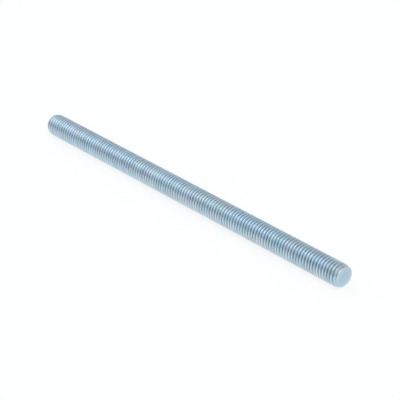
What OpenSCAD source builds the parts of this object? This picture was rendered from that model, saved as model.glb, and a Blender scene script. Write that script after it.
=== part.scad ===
// Fully threaded steel rod with a right-hand metric thread.
// The rod lies along X with its middle at the origin, and +Z is up.

/* [Rod] */
// Length over both end faces
rod_len = 149; // [60:1:160]
// Outside diameter, over the crests of the thread
major_d = 8; // [7:0.1:9]

/* [Thread] */
// Distance along the rod from one turn of the thread to the next
pitch = 1.25; // [1.25:0.05:1.5]
// Angle between the two flanks of the groove
flank_angle = 60; // [55:1:65]
// Width of the flat left on top of each crest
crest_w = 0.16; // [0.1:0.01:0.25]
// How far round the thread is turned, which moves where it runs out at the ends
thread_turn = 270; // [0:5:355]

/* [Ends] */
// How far the bevel at each end cuts in below the crests
bevel_depth = 0.5; // [0.2:0.05:0.7]
// Length of the bevel along the rod
bevel_len = 1.6; // [0.4:0.1:2.4]

/* [Hidden] */
zinc_plate = [0.66, 0.74, 0.80];

// The section of the thread: a V groove, and a ridge that would come to a point above its flat
crest_r = major_d / 2;
flank_rise = 1 / tan(flank_angle / 2);
ridge_r = crest_r + crest_w / 2 * flank_rise;
root_r = ridge_r - pitch / 2 * flank_rise;

// The helix starts below one end of the bar and stops past the other,
// so that the end faces cut it where its turns are whole
spare_turns = 1.05;
start_z = -rod_len / 2 - pitch * (spare_turns + thread_turn / 360);
turns = ceil((rod_len / 2 - start_z) / pitch + spare_turns);

// Each turn has as many steps as keep the flanks of the helix within this many triangles
most_facets = 7500;
most_turn_steps = 24;
step_facets = 4;
turn_steps = min(most_turn_steps, floor(most_facets / (step_facets * turns)));
steps = turn_steps * turns;
// Straight steps cut inside a circle, so the corners stand out as far as the middles fall short
corner_stretch = 2 / (1 + cos(180 / turn_steps));

// A corner of the helix, a number of steps along it
function helix_point(step, radius, lift) =
    let (angle = 360 * step / turn_steps, r = radius * corner_stretch)
    [r * cos(angle), r * sin(angle), start_z + lift + pitch * step / turn_steps];

// A screw longer than the bar, with sharp ridges and sharp roots, closed at both ends by a fan
module sharp_screw() {
    ridge_steps = steps - turn_steps;
    first_ridge = steps + 1;
    last_ridge = first_ridge + ridge_steps;
    low_hub = last_ridge + 1;
    high_hub = low_hub + 1;
    points = concat(
        [for (i = [0 : steps]) helix_point(i, root_r, 0)],
        [for (i = [0 : ridge_steps]) helix_point(i, ridge_r, pitch / 2)],
        [[0, 0, start_z], [0, 0, start_z + pitch * turns]]
    );
    lower_flanks = [
        for (i = [0 : ridge_steps - 1])
        let (ridge = first_ridge + i)
        each [[i, ridge + 1, i + 1], [i, ridge, ridge + 1]]
    ];
    upper_flanks = [
        for (i = [0 : ridge_steps - 1])
        let (ridge = first_ridge + i, next_root = i + turn_steps)
        each [[ridge, next_root + 1, ridge + 1], [ridge, next_root, next_root + 1]]
    ];
    low_end = concat(
        [for (i = [0 : turn_steps - 1]) [low_hub, i, i + 1]],
        [[low_hub, first_ridge, 0], [low_hub, turn_steps, first_ridge]]
    );
    high_end = concat(
        [for (i = [ridge_steps : steps - 1]) [high_hub, i + 1, i]],
        [[high_hub, ridge_steps, last_ridge], [high_hub, last_ridge, steps]]
    );
    polyhedron(points, concat(lower_flanks, upper_flanks, low_end, high_end), convexity = 10);
}

// The round bar that the thread is cut in, with its bevelled ends
module bar() {
    half = rod_len / 2;
    face_r = crest_r - bevel_depth;
    rotate_extrude($fn = 96)
        polygon([
            [0, -half],
            [face_r, -half],
            [crest_r, bevel_len - half],
            [crest_r, half - bevel_len],
            [face_r, half],
            [0, half]
        ]);
}

module threaded_rod() {
    color(zinc_plate)
    rotate([0, 90, 0])
    intersection() {
        sharp_screw();
        bar();
    }
}

threaded_rod();
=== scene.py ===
"""Zinc-plated threaded rod with bevelled ends, lying on a pale floor."""

from __future__ import annotations

import logging
import math
from dataclasses import dataclass, field
from enum import Enum
from typing import Any, ClassVar, Mapping, Sequence

import bmesh
import bpy
import numpy as np
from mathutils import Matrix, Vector

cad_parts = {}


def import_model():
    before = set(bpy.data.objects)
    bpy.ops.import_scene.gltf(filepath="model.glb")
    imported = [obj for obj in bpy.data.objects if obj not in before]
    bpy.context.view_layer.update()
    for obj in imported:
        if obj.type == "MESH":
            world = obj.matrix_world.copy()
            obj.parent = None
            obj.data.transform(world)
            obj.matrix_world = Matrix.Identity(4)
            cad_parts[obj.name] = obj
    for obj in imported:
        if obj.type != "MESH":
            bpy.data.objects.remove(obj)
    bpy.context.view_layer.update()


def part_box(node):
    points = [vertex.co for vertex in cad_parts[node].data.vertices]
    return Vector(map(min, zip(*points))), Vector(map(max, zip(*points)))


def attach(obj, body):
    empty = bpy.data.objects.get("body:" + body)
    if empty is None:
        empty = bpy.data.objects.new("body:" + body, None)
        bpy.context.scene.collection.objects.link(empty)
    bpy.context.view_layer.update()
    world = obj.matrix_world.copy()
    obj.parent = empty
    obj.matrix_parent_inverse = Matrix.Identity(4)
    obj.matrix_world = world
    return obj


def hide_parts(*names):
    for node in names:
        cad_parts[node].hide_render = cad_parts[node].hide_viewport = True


LOG = logging.getLogger("threaded_rod")

CAD_NODE = "threaded_rod"
MM = 0.001

# The Mix node's sockets for colours, by number, as its other sockets have the same names
MIX_FACTOR, MIX_FIRST, MIX_SECOND, MIX_RESULT = 0, 6, 7, 2

Colour = tuple[float, float, float]
Span = tuple[float, float]
WHITE: Colour = (1.0, 1.0, 1.0)


class Slot(Enum):
    """Material slots that the part's record names."""

    ZINC = "zinc_plated_steel"


class Maths(Enum):
    """Operations of a Math node."""

    ADD = "ADD"
    SUBTRACT = "SUBTRACT"
    MULTIPLY = "MULTIPLY"
    DIVIDE = "DIVIDE"
    MINIMUM = "MINIMUM"
    MAXIMUM = "MAXIMUM"
    ABSOLUTE = "ABSOLUTE"
    SQUARE_ROOT = "SQRT"
    SINE = "SINE"
    EXPONENT = "EXPONENT"


class Blend(Enum):
    """Ways in which one colour is laid on another."""

    MIX = "MIX"
    MULTIPLY = "MULTIPLY"


class Value:
    """A socket of a shader tree that takes part in sums as a number does."""

    def __init__(self, graph: Graph, node: bpy.types.Node, output: str | int = 0) -> None:
        """Wraps one output of a node.

        Args:
            graph: The shader tree that the node is in.
            node: The node.
            output: Name or number of the output, which a node that ends the tree doesn't have.
        """
        self.graph = graph
        self.node = node
        self.socket = node.outputs[output] if node.outputs else None

    def out(self, output: str | int) -> Value:
        """Another output of the same node."""
        return Value(self.graph, self.node, output)

    def __add__(self, other: Value | float) -> Value:
        """self + other."""
        return self.graph.function(Maths.ADD, self, other)

    def __radd__(self, other: float) -> Value:
        """other + self."""
        return self.graph.function(Maths.ADD, other, self)

    def __sub__(self, other: Value | float) -> Value:
        """self - other."""
        return self.graph.function(Maths.SUBTRACT, self, other)

    def __rsub__(self, other: float) -> Value:
        """other - self."""
        return self.graph.function(Maths.SUBTRACT, other, self)

    def __mul__(self, other: Value | float) -> Value:
        """self * other."""
        return self.graph.function(Maths.MULTIPLY, self, other)

    def __rmul__(self, other: float) -> Value:
        """other * self."""
        return self.graph.function(Maths.MULTIPLY, other, self)

    def __truediv__(self, other: Value | float) -> Value:
        """self / other."""
        return self.graph.function(Maths.DIVIDE, self, other)

    def __rtruediv__(self, other: float) -> Value:
        """other / self."""
        return self.graph.function(Maths.DIVIDE, other, self)


@dataclass(frozen=True)
class Noise:
    """Cloudy noise: its lumps per millimetre, the number of finer layers, and their strength."""

    middle: ClassVar[float] = 0.5

    per_mm: float
    detail: float = 2.0
    roughness: float = 0.5


class Graph:
    """A shader tree that is built from expressions."""

    def __init__(self, tree: bpy.types.NodeTree) -> None:
        """Empties a node tree and keeps it.

        Args:
            tree: The tree of a material or of the world.
        """
        self.tree = tree
        tree.nodes.clear()

    def add(
        self,
        kind: str,
        settings: Mapping[str, Any] | None = None,
        sockets: Mapping[str | int, Any] | None = None,
        output: str | int = 0,
    ) -> Value:
        """Adds a node, sets it up, then feeds its sockets.

        Args:
            kind: Blender's name for the node's type.
            settings: The node's own settings.
            sockets: Numbers, colours or links for its inputs, by name or number.
            output: The output that the result stands for.

        Returns:
            The chosen output of the new node.
        """
        node = self.tree.nodes.new(kind)
        for name, setting in (settings or {}).items():
            setattr(node, name, setting)
        for name, given in (sockets or {}).items():
            if isinstance(given, Value):
                self.tree.links.new(given.socket, node.inputs[name])
            else:
                node.inputs[name].default_value = given
        return Value(self, node, output)

    def function(self, operation: Maths, *inputs: Value | float) -> Value:
        """One Math node of the given operation."""
        return self.add("ShaderNodeMath", {"operation": operation.value}, dict(enumerate(inputs)))

    def fade(self, value: Value, start: float, end: float) -> Value:
        """A soft step that is 0 at start and 1 at end.

        Args:
            value: What the step follows.
            start: Value at which the result leaves 0.
            end: Value at which the result reaches 1.

        Returns:
            The step, from 0 to 1.
        """
        return self.add(
            "ShaderNodeMapRange",
            {"interpolation_type": "SMOOTHSTEP"},
            {"Value": value, "From Min": start, "From Max": end},
        )

    def mix(
        self,
        factor: Value | float,
        first: Colour | Value,
        second: Colour | Value,
        blend: Blend = Blend.MIX,
    ) -> Value:
        """Mixes two colours.

        Args:
            factor: Share of the second colour.
            first: A colour or a link.
            second: A colour or a link.
            blend: How the second is laid on the first.

        Returns:
            The mixed colour.
        """
        under, over = [c if isinstance(c, Value) else (*c, 1.0) for c in (first, second)]
        return self.add(
            "ShaderNodeMix",
            {"data_type": "RGBA", "blend_type": blend.value, "clamp_factor": True},
            {MIX_FACTOR: factor, MIX_FIRST: under, MIX_SECOND: over},
            output=MIX_RESULT,
        )

    def tinted(self, colour: Colour | Value, tint: Colour | Value) -> Value:
        """One colour multiplied by another."""
        return self.mix(1.0, colour, tint, Blend.MULTIPLY)

    def scaled(self, vector: Value, factor: Value | float) -> Value:
        """A vector or colour times a number."""
        sockets = {"Vector": vector, "Scale": factor}
        return self.add("ShaderNodeVectorMath", {"operation": "SCALE"}, sockets)

    def stretched(self, vector: Value, factors: Sequence[float]) -> Value:
        """A vector times one number for each axis."""
        sockets = {0: vector, 1: tuple(factors)}
        return self.add("ShaderNodeVectorMath", {"operation": "MULTIPLY"}, sockets)

    def dot(self, vector: Value, other: Sequence[float]) -> Value:
        """The dot product of two vectors."""
        sockets = {0: vector, 1: tuple(other)}
        return self.add("ShaderNodeVectorMath", {"operation": "DOT_PRODUCT"}, sockets, "Value")

    def grain(self, place: Value, noise: Noise) -> Value:
        """Noise from 0 to 1.

        Args:
            place: Where the noise is read, in millimetres.
            noise: The kind of noise.

        Returns:
            The noise.
        """
        lumps = {"Scale": noise.per_mm, "Detail": noise.detail, "Roughness": noise.roughness}
        return self.add("ShaderNodeTexNoise", {"noise_dimensions": "3D"}, {"Vector": place, **lumps})


@dataclass(frozen=True)
class ThreadForm:
    """Section of the thread: rounded roots, straight flanks and narrow crests with soft corners."""

    crest_radius: float
    pitch: float = 1.25 * MM
    root_radius: float = 3.233 * MM
    root_round: float = 0.18 * MM
    corner_round: float = 0.035 * MM
    flank_angle: float = math.radians(60)
    root_steps: int = 5
    corner_steps: int = 2

    @property
    def depth(self) -> float:
        """Height of the crests above the roots."""
        return self.crest_radius - self.root_radius

    def section(self) -> np.ndarray:
        """Points of one turn's outline, from one side of a root to just short of the next.

        Returns:
            Rows of distance along the rod from the middle of the root, and radius.
        """
        tilt = math.pi / 2 - self.flank_angle / 2
        root = [
            (self.root_round * math.sin(a), self.root_radius + self.root_round * (1 - math.cos(a)))
            for a in np.linspace(-tilt, tilt, self.root_steps + 1)
        ]
        flank_start, flank_low = root[-1]
        flank_high = self.crest_radius - self.corner_round * (1 - math.cos(tilt))
        flank_end = flank_start + (flank_high - flank_low) / math.tan(tilt)
        middle = flank_end + self.corner_round * math.sin(tilt)
        centre = self.crest_radius - self.corner_round
        corner = [
            (middle - self.corner_round * math.sin(a), centre + self.corner_round * math.cos(a))
            for a in np.linspace(tilt, 0, self.corner_steps + 1)
        ]
        far_corner = [(self.pitch - x, r) for x, r in reversed(corner)]
        return np.array(root + corner + far_corner)


@dataclass(frozen=True)
class HelixSkin:
    """Closed screw surface swept from the thread's section, longer than the rod at both ends."""

    form: ThreadForm
    length: float
    steps_per_turn: int = 60
    spare_turns: float = 1.05
    thread_turn: float = 270.0

    @property
    def start(self) -> float:
        """Where the first root crosses the angle 0, along the rod."""
        return -self.length / 2 - self.form.pitch * (self.spare_turns + self.thread_turn / 360)

    @property
    def turns(self) -> int:
        """Whole turns that reach past the far end."""
        return math.ceil((self.length / 2 - self.start) / self.form.pitch + self.spare_turns)

    def mesh(self) -> bpy.types.Mesh:
        """Builds the surface.

        Returns:
            A closed mesh whose rows follow the helix.
        """
        section = self.form.section()
        per_row = len(section)
        rows = self.steps_per_turn * self.turns
        angle = 2 * math.pi * np.arange(rows + 1) / self.steps_per_turn
        along = self.start + self.form.pitch * np.arange(rows + 1) / self.steps_per_turn
        x = along[:, None] + section[None, :, 0]
        r = np.broadcast_to(section[None, :, 1], x.shape)
        y = r * np.sin(angle)[:, None]
        z = -r * np.cos(angle)[:, None]
        skin = np.stack([x, y, z], axis=-1).reshape(-1, 3)
        hubs = np.array([[along[0], 0, 0], [along[-1] + self.form.pitch, 0, 0]])
        faces = self._skin_faces(rows, per_row) + self._end_faces(rows, per_row)
        made = bpy.data.meshes.new("helix_skin")
        made.from_pydata(np.vstack([skin, hubs]).tolist(), [], faces)
        return made

    def _skin_faces(self, rows: int, per_row: int) -> list[list[int]]:
        """Four-sided faces of the screw surface, the last strip of each turn joined to the next turn.

        Args:
            rows: Steps along the whole helix.
            per_row: Points of the section.

        Returns:
            Corner numbers of each face.
        """
        turn = self.steps_per_turn
        step, point = np.meshgrid(np.arange(rows), np.arange(per_row - 1), indexing="ij")
        low = step * per_row + point
        within = np.stack([low, low + per_row, low + per_row + 1, low + 1], axis=-1).reshape(-1, 4)
        step = np.arange(rows - turn)
        last = step * per_row + per_row - 1
        following = (step + turn) * per_row
        joints = np.stack([last, last + per_row, following + per_row, following], axis=-1)
        return np.vstack([within, joints]).tolist()

    def _end_faces(self, rows: int, per_row: int) -> list[list[int]]:
        """Fans from a hub on the axis that close each end of the helix.

        Args:
            rows: Steps along the whole helix.
            per_row: Points of the section.

        Returns:
            Corner numbers of each face.
        """
        turn = self.steps_per_turn
        low_hub = (rows + 1) * per_row
        first_turn = [i * per_row for i in range(turn + 1)]
        first_row = list(range(per_row - 1, -1, -1))
        last_turn = [i * per_row + per_row - 1 for i in range(rows, rows - turn - 1, -1)]
        last_row = list(range(rows * per_row, (rows + 1) * per_row))
        faces = []
        for hub, rim in ((low_hub, first_turn + first_row), (low_hub + 1, last_turn + last_row)):
            faces += [[hub, b, a] for a, b in zip(rim, rim[1:])]
        return faces


@dataclass(frozen=True)
class BevelledBar:
    """Round bar whose bevels and end faces trim the thread to length."""

    length: float
    crest_radius: float
    face_radius: float = 3.5 * MM
    bevel_length: float = 1.6 * MM
    rim_round: float = 0.12 * MM
    spare: float = 0.3 * MM
    segments: int = 144
    rim_steps: int = 4

    @property
    def slope(self) -> float:
        """Rise of the bevel for each unit of length."""
        return (self.crest_radius - self.face_radius) / self.bevel_length

    def outline(self) -> list[tuple[float, float]]:
        """Half outline of the bar, from the middle of one end face to the middle of the other.

        Returns:
            Points of distance along the rod and radius.
        """
        lean = math.atan(self.slope)
        half = self.length / 2
        reach = self.rim_round * math.tan((math.pi / 2 - lean) / 2)
        centre_x, centre_r = half - self.rim_round, self.face_radius - reach
        rim = [
            (centre_x + self.rim_round * math.sin(a), centre_r + self.rim_round * math.cos(a))
            for a in np.linspace(lean, math.pi / 2, self.rim_steps + 1)
        ]
        outer = (half - self.bevel_length - self.spare / self.slope, self.crest_radius + self.spare)
        right = [outer, *rim]
        return [(-x, r) for x, r in reversed(right)] + right

    def mesh(self) -> bpy.types.Mesh:
        """Builds the bar.

        Returns:
            A closed mesh.
        """
        outline = self.outline()
        n = self.segments
        angle = 2 * math.pi * np.arange(n) / n
        y, z = np.cos(angle), np.sin(angle)
        rings = [np.stack([np.full(n, x), r * y, r * z], axis=-1) for x, r in outline]
        faces = []
        for ring in range(len(outline) - 1):
            for i in range(n):
                j = (i + 1) % n
                low, high = ring * n, (ring + 1) * n
                faces.append([low + i, low + j, high + j, high + i])
        faces.append(list(range(n))[::-1])
        faces.append([(len(outline) - 1) * n + i for i in range(n)])
        made = bpy.data.meshes.new("bevelled_bar")
        made.from_pydata(np.vstack(rings).tolist(), [], faces)
        return made


@dataclass(frozen=True)
class Spot:
    """Where a point of the rod lies, in millimetres, with its shares of end face and of groove.

    The share of face fades out over face_edge. The share of groove starts groove_top below the
    crests and is whole from groove_floor above the roots.
    """

    face_edge: ClassVar[float] = 0.03
    groove_top: ClassVar[float] = 0.02
    groove_floor: ClassVar[float] = 0.12

    place: Value
    along: Value
    radius: Value
    face: Value
    depth: Value

    @classmethod
    def on(cls, graph: Graph, form: ThreadForm, bar: BevelledBar) -> Spot:
        """Works out where the shaded point lies.

        Args:
            graph: The shader tree.
            form: Section of the thread, which gives the depth of the grooves.
            bar: The bar that the thread is cut in, whose surface the grooves are measured from.

        Returns:
            The point's place and its shares, which go from 0 to 1.
        """
        place = graph.scaled(graph.add("ShaderNodeTexCoord", output="Object"), 1 / MM)
        axes = graph.add("ShaderNodeSeparateXYZ", sockets={"Vector": place})
        along, across, up = axes.out("X"), axes.out("Y"), axes.out("Z")
        radius = graph.function(Maths.SQUARE_ROOT, across * across + up * up)
        from_end = bar.length / 2 / MM - graph.function(Maths.ABSOLUTE, along)
        bevel = from_end * bar.slope + bar.face_radius / MM
        below = graph.function(Maths.MINIMUM, form.crest_radius / MM, bevel) - radius
        face = graph.fade(from_end, cls.face_edge, 0.0)
        floor = form.depth / MM - cls.groove_floor
        depth = graph.fade(below, cls.groove_top, floor) * (1 - face)
        return cls(place, along, radius, face, depth)


@dataclass(frozen=True)
class ZincPlate:
    """Bright blue-white zinc plate with a faint play of colour; painted shade darkens it down in the
    grooves and, with a bluer tint, towards the far end.

    A span goes from where its step is 0 to where it is 1, in millimetres or in values of its noise.
    """

    plate: Colour = (0.61, 0.711, 0.768)
    groove_shade: Colour = (0.49, 0.60, 0.66)
    face_middle: Colour = (0.76, 0.86, 0.92)
    face_rim_tint_and_reflection: Colour = (0.89, 0.93, 0.89)
    far_end_tint_and_shade: Colour = (0.94, 0.96, 1.0)
    cool: Colour = (0.92, 1.0, 1.04)
    violet: Colour = (1.03, 0.97, 1.04)
    green: Colour = (0.96, 1.02, 0.97)
    face_span: Span = (1.2, 3.4)
    far_end_tint_and_shade_span: Span = (-15.0, -68.0)
    hues: Noise = Noise(0.16)
    cool_span: Span = (0.42, 0.62)
    clouds: Noise = Noise(0.3, detail=3.0)
    violet_span: Span = (0.5, 0.68)
    green_span: Span = (0.5, 0.34)
    turns: Noise = Noise(1.0)
    turn_stretch: tuple[float, float, float] = (0.8, 0.2, 0.2)
    unevenness: float = 0.5
    specks: Noise = Noise(5.0)
    speck_span: Span = (0.55, 0.75)
    speck_shade: float = 0.1
    speck_roughness: float = 0.2
    roughness: float = 0.305
    groove_roughness: float = 0.08
    face_roughness: float = 0.14
    grains: Noise = Noise(9.0, detail=3.0, roughness=0.6)
    cloud_bump: float = 2.0
    lathe_bump: float = 0.5
    lathe_feed: float = 0.5
    bump_strength: float = 0.35
    bump_depth: float = 0.02 * MM

    def dress(self, piece: bpy.types.Object, form: ThreadForm, bar: BevelledBar) -> None:
        """Gives a piece this finish.

        Args:
            piece: The rod's mesh.
            form: Section of the thread.
            bar: The bar that the thread is cut in.
        """
        material = bpy.data.materials.new(Slot.ZINC.value)
        material.use_nodes = True
        graph = Graph(material.node_tree)
        spot = Spot.on(graph, form, bar)
        clouds = graph.grain(spot.place, self.clouds)
        specks = graph.grain(spot.place, self.specks)
        rough = self.roughness + self.speck_roughness * (specks - Noise.middle)
        rough = rough + self.groove_roughness * spot.depth + self.face_roughness * spot.face
        shader = graph.add(
            "ShaderNodeBsdfPrincipled",
            sockets={
                "Base Color": self._colour(graph, spot, clouds, specks),
                "Metallic": 1.0,
                "Roughness": rough,
                "Normal": self._bumps(graph, spot, clouds),
            },
        )
        graph.add("ShaderNodeOutputMaterial", sockets={"Surface": shader})
        piece.data.materials.clear()
        piece.data.materials.append(material)

    def _colour(self, graph: Graph, spot: Spot, clouds: Value, specks: Value) -> Value:
        """Colour of the plate.

        Args:
            graph: The shader tree.
            spot: Where the shaded point lies.
            clouds: Broad noise.
            specks: Fine noise.

        Returns:
            The colour, with its casts, the painted shade in its grooves and its paler end faces, whose
            paler rim is partly a painted reflection.
        """
        # The end faces turn paler and greener towards their rim: partly their own tint, partly a
        # painted reflection of the pale surroundings in the rounded edge.
        end = graph.mix(graph.fade(spot.radius, *self.face_span), self.face_middle, self.face_rim_tint_and_reflection)
        # Painted shade: the plate turns darker and bluer towards the roots of the grooves.
        side = graph.mix(spot.depth, WHITE, self.groove_shade)
        colour = graph.tinted(self.plate, self._cast(graph, spot, clouds))
        colour = graph.tinted(colour, graph.mix(spot.face, side, end))
        turns = graph.grain(graph.stretched(spot.place, self.turn_stretch), self.turns)
        shade = 1 - self.speck_shade * graph.fade(specks, *self.speck_span)
        return graph.scaled(colour, shade + self.unevenness * (turns - Noise.middle))

    def _cast(self, graph: Graph, spot: Spot, clouds: Value) -> Value:
        """Play of colour over the plate; towards the far end it turns bluer and, as painted shade,
        darker.

        Args:
            graph: The shader tree.
            spot: Where the shaded point lies.
            clouds: Broad noise, which sets the violet and the green patches.

        Returns:
            A colour near white that the plate's own colour is multiplied by.
        """
        hues = graph.grain(spot.place, self.hues)
        patches = graph.mix(graph.fade(clouds, *self.violet_span), WHITE, self.violet)
        patches = graph.mix(graph.fade(clouds, *self.green_span), patches, self.green)
        # Partly painted shade: towards the far end the plate turns darker as well as bluer, against the
        # brighter light that falls there.
        cast = graph.mix(graph.fade(spot.along, *self.far_end_tint_and_shade_span), WHITE, self.far_end_tint_and_shade)
        cast = graph.tinted(cast, graph.mix(graph.fade(hues, *self.cool_span), self.cool, WHITE))
        return graph.tinted(cast, patches)

    def _bumps(self, graph: Graph, spot: Spot, clouds: Value) -> Value:
        """Fine unevenness of the plate, with the marks of the lathe on the end faces.

        Args:
            graph: The shader tree.
            spot: Where the shaded point lies.
            clouds: Broad noise.

        Returns:
            The bumped normal.
        """
        waves = graph.function(Maths.SINE, spot.radius * (2 * math.pi / self.lathe_feed))
        grains = graph.grain(spot.place, self.grains)
        height = grains + self.cloud_bump * clouds + self.lathe_bump * (spot.face * waves)
        sockets = {"Strength": self.bump_strength, "Distance": self.bump_depth, "Height": height}
        return graph.add("ShaderNodeBump", sockets=sockets)


@dataclass
class ThreadedRod:
    """The rod: a bevelled bar with a thread along its whole length."""

    low: Vector
    high: Vector
    finish: ZincPlate = field(default_factory=ZincPlate)
    smooth_up_to: float = math.radians(38)
    merge_distance: float = 0.0005 * MM
    inset: float = 0.0005 * MM

    @property
    def length(self) -> float:
        """Length over both end faces."""
        return self.high.x - self.low.x

    @property
    def form(self) -> ThreadForm:
        """Section of the thread, its crests just inside the CAD box."""
        reach = min(self.high.y, -self.low.y, self.high.z, -self.low.z)
        return ThreadForm(crest_radius=reach - self.inset)

    def build(self) -> bpy.types.Object:
        """Cuts the thread to length, smooths it and dresses it.

        Returns:
            The finished piece.
        """
        form = self.form
        skin = self._place("zinc_plated_rod", HelixSkin(form, self.length).mesh())
        bar = BevelledBar(self.length, form.crest_radius)
        self._trim(skin, self._place("trimming_bar", bar.mesh()))
        self._clean(skin)
        self._smooth(skin)
        self.finish.dress(skin, form, bar)
        return skin

    @staticmethod
    def _place(name: str, mesh: bpy.types.Mesh) -> bpy.types.Object:
        """Puts a mesh into the scene with its faces turned outwards.

        Args:
            name: Name of the new object.
            mesh: Its mesh.

        Returns:
            The new object.
        """
        work = bmesh.new()
        work.from_mesh(mesh)
        bmesh.ops.recalc_face_normals(work, faces=work.faces)
        work.to_mesh(mesh)
        work.free()
        made = bpy.data.objects.new(name, mesh)
        bpy.context.scene.collection.objects.link(made)
        return made

    @staticmethod
    def _bake_modifiers(piece: bpy.types.Object) -> None:
        """Turns a piece's modifiers into its mesh.

        Args:
            piece: The piece.
        """
        graph = bpy.context.evaluated_depsgraph_get()
        done = bpy.data.meshes.new_from_object(piece.evaluated_get(graph), depsgraph=graph)
        piece.modifiers.clear()
        piece.data = done

    def _trim(self, skin: bpy.types.Object, bar: bpy.types.Object) -> None:
        """Keeps what the screw surface and the bar share.

        Args:
            skin: The screw surface, which becomes the rod.
            bar: The bar, which is deleted.
        """
        cut = skin.modifiers.new("trim", "BOOLEAN")
        cut.operation = "INTERSECT"
        cut.solver = "MANIFOLD"
        cut.object = bar
        self._bake_modifiers(skin)
        bpy.data.objects.remove(bar)

    def _clean(self, piece: bpy.types.Object) -> None:
        """Merges corners that lie on one another and splits every face into triangles.

        Args:
            piece: The trimmed rod.
        """
        work = bmesh.new()
        work.from_mesh(piece.data)
        bmesh.ops.remove_doubles(work, verts=work.verts, dist=self.merge_distance)
        bmesh.ops.triangulate(work, faces=work.faces)
        work.to_mesh(piece.data)
        work.free()

    def _smooth(self, piece: bpy.types.Object) -> None:
        """Shades the thread smoothly, with flat flanks and sharp edges where the bevel cuts it.

        Args:
            piece: The trimmed rod.
        """
        piece.data.shade_smooth()
        piece.data.set_sharp_from_angle(angle=self.smooth_up_to)
        weigh = piece.modifiers.new("weigh", "WEIGHTED_NORMAL")
        weigh.keep_sharp = True
        self._bake_modifiers(piece)


@dataclass(frozen=True)
class Floor:
    """Plain pale floor under the rod."""

    height: float
    side: float = 12.0
    pale: Colour = (0.95, 0.95, 0.95)
    own_white: float = 0.85

    def build(self) -> bpy.types.Object:
        """Builds the floor, which keeps the rod's shadow under its white.

        Returns:
            The floor.
        """
        half = self.side / 2
        corners = [(x * half, y * half, self.height) for x, y in ((-1, -1), (1, -1), (1, 1), (-1, 1))]
        mesh = bpy.data.meshes.new("floor")
        mesh.from_pydata(corners, [], [(0, 1, 2, 3)])
        floor = bpy.data.objects.new("floor", mesh)
        bpy.context.scene.collection.objects.link(floor)
        mesh.materials.append(self._paint())
        return floor

    def _paint(self) -> bpy.types.Material:
        """Makes pale paint that the camera and the plated steel see as white.

        Returns:
            The paint.
        """
        material = bpy.data.materials.new("pale_floor")
        material.use_nodes = True
        graph = Graph(material.node_tree)
        matt = graph.add("ShaderNodeBsdfDiffuse", sockets={"Color": (*self.pale, 1.0)})
        white = graph.add("ShaderNodeEmission", sockets={"Color": (*WHITE, 1.0), "Strength": 1.0})
        ray = graph.add("ShaderNodeLightPath", output="Is Camera Ray")
        seen = graph.function(Maths.MAXIMUM, ray, ray.out("Is Glossy Ray"))
        seen = graph.function(Maths.MAXIMUM, seen, ray.out("Is Transmission Ray"))
        share = seen * self.own_white
        surface = graph.add("ShaderNodeMixShader", sockets={0: share, 1: matt, 2: white})
        graph.add("ShaderNodeOutputMaterial", sockets={"Surface": surface})
        return material


@dataclass(frozen=True)
class Glow:
    """Broad soft light that fades out round its middle, or a darker side if its level is negative."""

    around: float
    height: float
    level: float
    spread: float

    @property
    def towards(self) -> tuple[float, float, float]:
        """Direction of the middle of the light, seen from the rod."""
        flat = math.cos(self.height)
        return math.cos(self.around) * flat, math.sin(self.around) * flat, math.sin(self.height)


@dataclass(frozen=True)
class SoftLight:
    """Studio light: even surroundings, two broad soft lights and one darker side."""

    surroundings: float = 0.65
    tint: Colour = (0.96, 1.0, 1.04)
    front: Glow = Glow(around=math.radians(-29), height=math.radians(55.5), level=3.05, spread=0.05)
    back: Glow = Glow(around=math.radians(-171), height=math.radians(36.5), level=1.75, spread=0.085)
    dark: Glow = Glow(around=math.radians(-136), height=math.radians(11), level=-0.28, spread=0.08)

    def build(self) -> bpy.types.World:
        """Builds the world.

        Returns:
            The world, already in use by the scene.
        """
        world = bpy.data.worlds.new("soft_studio")
        bpy.context.scene.world = world
        world.use_nodes = True
        graph = Graph(world.node_tree)
        way = graph.add("ShaderNodeTexCoord", output="Generated")
        level: Value | float = self.surroundings
        for glow in (self.front, self.back, self.dark):
            nearness = graph.dot(way, glow.towards)
            level = level + glow.level * graph.function(Maths.EXPONENT, (nearness - 1) / glow.spread)
        sky = graph.add("ShaderNodeBackground", sockets={"Color": (*self.tint, 1.0), "Strength": level})
        graph.add("ShaderNodeOutputWorld", sockets={"Surface": sky})
        return world


@dataclass(frozen=True)
class Camera:
    """Long lens that looks down on the rod from beyond its near end."""

    azimuth: float = math.radians(48.3)
    elevation: float = math.radians(28.2)
    distance: float = 0.5686
    aim_along: float = 6.635 * MM
    aim_up: float = 0.28 * MM
    lens: float = 150.57
    sensor: float = 36.0

    def build(self, low: Vector, high: Vector) -> bpy.types.Object:
        """Builds the camera.

        Args:
            low: Lowest corner of the rod.
            high: Highest corner of the rod.

        Returns:
            The camera, already in use by the scene.
        """
        aim = (low + high) / 2 + Vector((self.aim_along, 0, self.aim_up))
        flat = math.cos(self.elevation)
        back = Vector(
            (math.sin(self.azimuth) * flat, -math.cos(self.azimuth) * flat, math.sin(self.elevation))
        )
        data = bpy.data.cameras.new("camera")
        data.lens = self.lens
        data.sensor_width = self.sensor
        camera = bpy.data.objects.new("camera", data)
        camera.location = aim + back * self.distance
        camera.rotation_euler = (-back).to_track_quat("-Z", "Y").to_euler()
        bpy.context.scene.collection.objects.link(camera)
        bpy.context.scene.camera = camera
        return camera


def main() -> None:
    """Builds the rod, the floor, the light and the camera."""
    logging.basicConfig(level=logging.INFO)
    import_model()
    bpy.context.scene.view_settings.view_transform = "Standard"
    low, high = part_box(CAD_NODE)

    rod = ThreadedRod(low, high).build()
    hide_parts(CAD_NODE)
    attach(rod, "root")
    LOG.info("%s: %d triangles", rod.name, len(rod.data.polygons))

    floor = Floor(height=low.z).build()
    LOG.info("%s: %.1f m square", floor.name, floor.dimensions.x)

    world = SoftLight().build()
    LOG.info("%s: lit", world.name)
    camera = Camera().build(low, high)
    LOG.info("%s: %.1f mm lens", camera.name, camera.data.lens)


if __name__ == "__main__":
    main()
